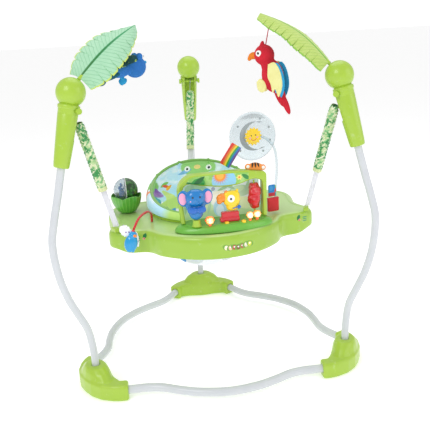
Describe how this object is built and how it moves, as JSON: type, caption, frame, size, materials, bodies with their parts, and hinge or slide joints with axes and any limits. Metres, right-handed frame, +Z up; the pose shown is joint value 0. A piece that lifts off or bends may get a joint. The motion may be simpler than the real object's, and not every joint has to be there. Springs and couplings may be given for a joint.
{
  "type": "activity jumper",
  "caption": "Baby activity jumper: a turning cloth seat in a lobed toy tray, hung on sprung straps from a tubular floor frame with palm-leaf toy arms.",
  "frame": {"origin": "on the floor under the middle of the whole object", "axes": "+Z up, +X to the right of the console seen from the front, +Y towards the rear leg; the toy console faces -Y"},
  "size_m": [0.945, 0.9212, 1.0672],
  "materials": {
    "lime_plastic": "moulded lime plastic, satin gloss",
    "green_plastic": "moulded mid-green plastic",
    "white_paint": "white powder coat",
    "spring_steel": "bright wire and pins",
    "print_fabric": "leaf print, ruched",
    "webbing": "woven webbing",
    "seat_cloth": "printed padded cloth",
    "print_sheet": "printed scenery sheet",
    "leaf_cloth_top": "padded printed leaf",
    "leaf_cloth_under": "padded printed leaf",
    "red_plastic": "moulded red plastic",
    "red_cloth": "sewn cloth",
    "blue_cloth": "sewn cloth",
    "blue_plastic": "moulded blue plastic",
    "aqua_plastic": "moulded aqua plastic",
    "yellow_plastic": "moulded yellow plastic",
    "orange_plastic": "moulded orange plastic",
    "clear_plastic": "clear moulded plastic",
    "red_plush": "short plush",
    "blue_plush": "short plush"
  },
  "bodies": {
    "frame": {"hub_left": "lime_plastic", "hub_right": "lime_plastic", "hub_rear": "lime_plastic", "base_tube_front": "white_paint", "base_tube_right": "white_paint", "base_tube_left": "white_paint", "upright_left": "white_paint", "upright_right": "white_paint", "upright_rear": "white_paint", "tower_left": "lime_plastic", "tower_right": "lime_plastic", "tower_rear": "lime_plastic", "spring_pin_left": "spring_steel", "spring_pin_right": "spring_steel", "spring_pin_rear": "spring_steel", "spring_left": "spring_steel", "spring_right": "spring_steel", "spring_rear": "spring_steel", "sleeve_left": "print_fabric", "sleeve_right": "print_fabric", "sleeve_rear": "print_fabric"},
    "tray": {"tray_shell": "lime_plastic", "tray_base": "lime_plastic", "strap_left": "webbing", "strap_right": "webbing", "strap_rear": "webbing", "strap_anchor_left": "lime_plastic", "strap_anchor_right": "lime_plastic", "strap_anchor_rear": "lime_plastic", "console_base": "green_plastic", "console_arch": "lime_plastic", "scenery_panel": "print_sheet", "lamp_left": "orange_plastic", "lamp_right": "orange_plastic", "bird_box": "red_plastic", "roller_peg": "lime_plastic", "tiger_head": "orange_plastic", "spinner_stand": "clear_plastic", "rainbow_panel": "print_sheet", "book_pouch": "red_cloth", "ball_dish": "green_plastic"},
    "seat": {"seat_ring": "green_plastic", "seat_fabric": "seat_cloth"},
    "button_left": {"button_left": "yellow_plastic"},
    "button_right": {"button_right": "yellow_plastic"},
    "elephant": {"elephant": "blue_plastic"},
    "bird": {"bird": "yellow_plastic"},
    "roller": {"roller": "red_plastic"},
    "spinner": {"spinner_disc": "clear_plastic", "sun_face": "yellow_plastic"},
    "book_page": {"book_page": "blue_cloth"},
    "ball": {"ball_back": "green_plastic", "ball_window": "clear_plastic", "ball_frog": "aqua_plastic"},
    "stalk": {"stalk": "red_plastic", "beetle": "aqua_plastic"},
    "leaf_left": {"leaf_left": "leaf_cloth_under"},
    "leaf_right": {"leaf_right": "leaf_cloth_top"},
    "frog": {"frog": "blue_plush"},
    "parrot": {"parrot": "red_plush"}
  },
  "joints": [
    {"name": "tray_bounce", "type": "slide", "parent": "frame", "child": "tray", "axis": [0, 0, 1], "range_m": [-0.1, 0.03], "stiffness_N_per_m": 1200, "springref_m": 0.03, "deforming": ["spring_left", "spring_right", "spring_rear", "sleeve_left", "sleeve_right", "sleeve_rear", "strap_left", "strap_right", "strap_rear"]},
    {"name": "seat_spin", "type": "hinge", "parent": "tray", "child": "seat", "pos_m": [-0.00436, -0.03344, 0.47], "axis": [0, 0, 1], "continuous": true},
    {"name": "button_left_press", "type": "slide", "parent": "tray", "child": "button_left", "axis": [0, 0, 1], "range_m": [-0.0025, 0], "stiffness_N_per_m": 300, "springref_m": 0.002},
    {"name": "button_right_press", "type": "slide", "parent": "tray", "child": "button_right", "axis": [0, 0, 1], "range_m": [-0.0025, 0], "stiffness_N_per_m": 300, "springref_m": 0.002},
    {"name": "elephant_nod", "type": "hinge", "parent": "tray", "child": "elephant", "pos_m": [-0.05425, -0.30081, 0.506], "axis": [0.9962, 0.0872, 0], "range_deg": [-10, 10], "stiffness_Nm_per_rad": 0.4},
    {"name": "bird_turn", "type": "hinge", "parent": "tray", "child": "bird", "pos_m": [0.04433, -0.28014, 0.5176], "axis": [0, 0, 1], "range_deg": [-20, 20]},
    {"name": "roller_spin", "type": "hinge", "parent": "tray", "child": "roller", "pos_m": [0.1257, -0.24641, 0.55], "axis": [0, 0, 1], "continuous": true},
    {"name": "spinner_spin", "type": "hinge", "parent": "tray", "child": "spinner", "pos_m": [0.14937, -0.11535, 0.703], "axis": [-0.1908, 0.9816, 0], "continuous": true},
    {"name": "book_page_turn", "type": "hinge", "parent": "tray", "child": "book_page", "pos_m": [0.18391, -0.16243, 0.517], "axis": [0, 0, 1], "range_deg": [-60, 60]},
    {"name": "ball_spin", "type": "hinge", "parent": "tray", "child": "ball", "pos_m": [-0.25651, -0.00832, 0.538], "axis": [0, 0, 1], "continuous": true},
    {"name": "stalk_sway", "type": "hinge", "parent": "tray", "child": "stalk", "pos_m": [-0.18111, -0.14728, 0.4656], "axis": [0.766, -0.6428, 0], "range_deg": [-7, 7], "stiffness_Nm_per_rad": 3},
    {"name": "leaf_left_turn", "type": "hinge", "parent": "frame", "child": "leaf_left", "pos_m": [-0.37023, -0.297, 0.89], "axis": [0.5628, 0.3249, 0.76], "range_deg": [-15, 15]},
    {"name": "leaf_right_turn", "type": "hinge", "parent": "frame", "child": "leaf_right", "pos_m": [0.37023, -0.297, 0.89], "axis": [-0.5628, 0.3249, 0.76], "range_deg": [-15, 15]},
    {"name": "frog_swing", "type": "hinge", "parent": "leaf_left", "child": "frog", "pos_m": [-0.22776, -0.21475, 0.998], "axis": [0.5, -0.866, 0], "range_deg": [-10, 20]},
    {"name": "parrot_swing", "type": "hinge", "parent": "leaf_right", "child": "parrot", "pos_m": [0.19667, -0.1968, 1.03], "axis": [0.5, 0.866, 0], "range_deg": [-20, 20]}
  ]
}
